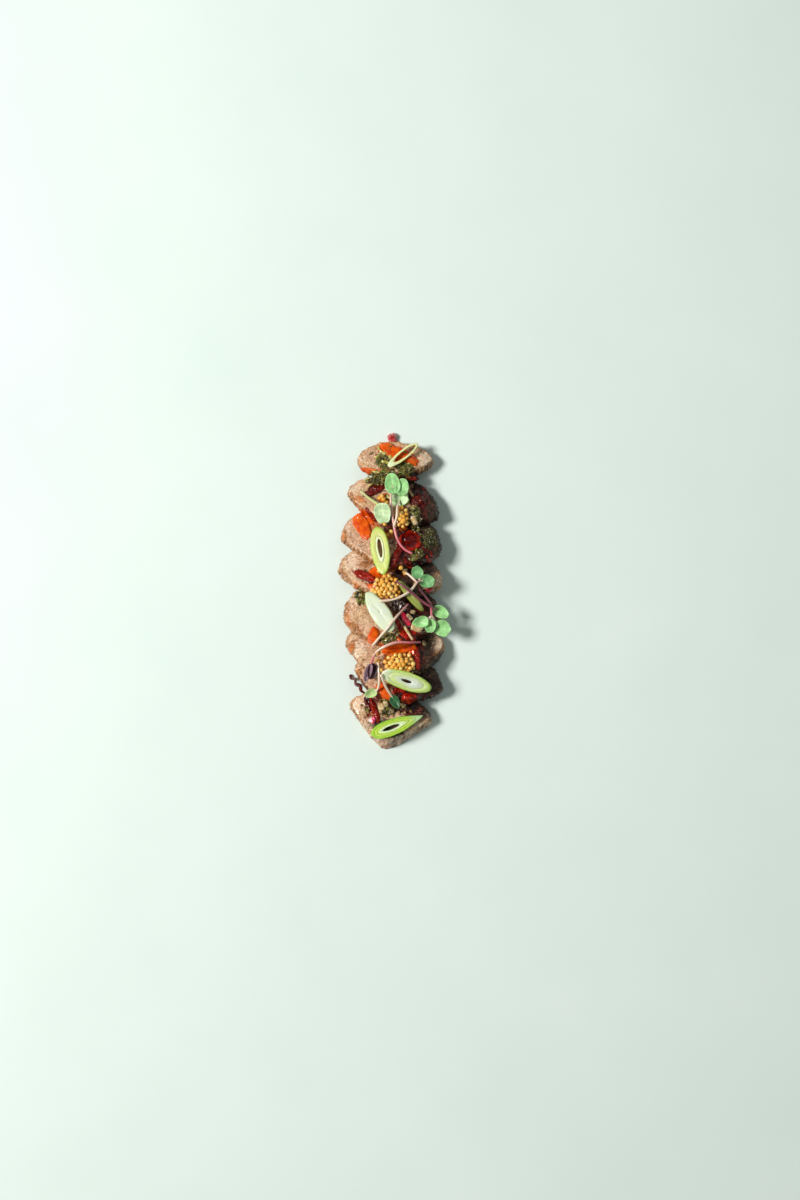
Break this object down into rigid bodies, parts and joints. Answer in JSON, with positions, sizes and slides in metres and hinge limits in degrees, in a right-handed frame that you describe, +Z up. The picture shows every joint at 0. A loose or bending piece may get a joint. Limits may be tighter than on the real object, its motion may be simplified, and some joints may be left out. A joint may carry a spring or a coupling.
{
  "type": "sliced hanger steak",
  "caption": "Row of overlapping seared steak slices topped with pickled mustard seeds, sauce, pepper, chopped herbs, spring onion and radish sprouts.",
  "frame": {"origin": "on the surface that the slices rest on, under the middle of the bounding box", "axes": "+Y along the row towards the first, topmost slice, +X to the right seen from above, +Z up"},
  "size_m": [0.0638, 0.1787, 0.0295],
  "materials": {
    "meat": "seared outside, pale pink-beige cut face with a wet sheen",
    "orange_sauce": "glossy, slightly translucent",
    "pepper": "glossy dark red",
    "herbs": "oily chopped herbs",
    "mustard_seeds": "wet pickled seeds",
    "radish": "crisp and wet",
    "spring_onion": "wet, pale green to white",
    "leaf_green": "soft satin leaf",
    "leaf_purple": "soft satin leaf",
    "stalk": "pale pink stalk"
  },
  "bodies": {
    "root": {"slice_8": "meat", "slice_7": "meat", "slice_6": "meat", "slice_5": "meat", "slice_4": "meat", "slice_3": "meat", "slice_2": "meat", "slice_1": "meat", "sauce_1": "orange_sauce", "sauce_2": "orange_sauce", "sauce_3": "orange_sauce", "sauce_4": "orange_sauce", "sauce_5": "orange_sauce", "sauce_6": "orange_sauce", "pepper_1": "pepper", "pepper_2": "pepper", "pepper_3": "pepper", "pepper_4": "pepper", "pepper_5": "pepper", "pepper_6": "pepper", "pepper_7": "pepper", "pepper_8": "pepper", "pepper_9": "pepper", "pepper_10": "pepper", "pepper_11": "pepper", "herbs_1": "herbs", "herbs_2": "herbs", "herbs_3": "herbs", "herbs_4": "herbs", "herbs_5": "herbs", "herbs_6": "herbs", "herbs_7": "herbs", "herbs_8": "herbs", "herbs_9": "herbs", "seeds_1": "mustard_seeds", "seeds_2": "mustard_seeds", "seeds_3": "mustard_seeds", "seeds_4": "mustard_seeds", "seeds_5": "mustard_seeds", "radish_1": "radish", "radish_2": "radish", "radish_3": "radish", "radish_4": "radish", "onion_1": "spring_onion", "onion_2": "spring_onion", "onion_3": "spring_onion", "onion_4": "spring_onion", "onion_5": "spring_onion", "onion_6": "spring_onion", "sprout_1": "leaf_green", "sprout_2": "leaf_green", "sprout_3": "leaf_green", "sprout_4": "leaf_green", "sprout_8": "leaf_green", "sprout_5": "leaf_purple", "sprout_6": "leaf_green", "sprout_7": "leaf_green", "stem_1": "stalk", "stem_2": "stalk", "stem_3": "stalk"}
  },
  "joints": []
}
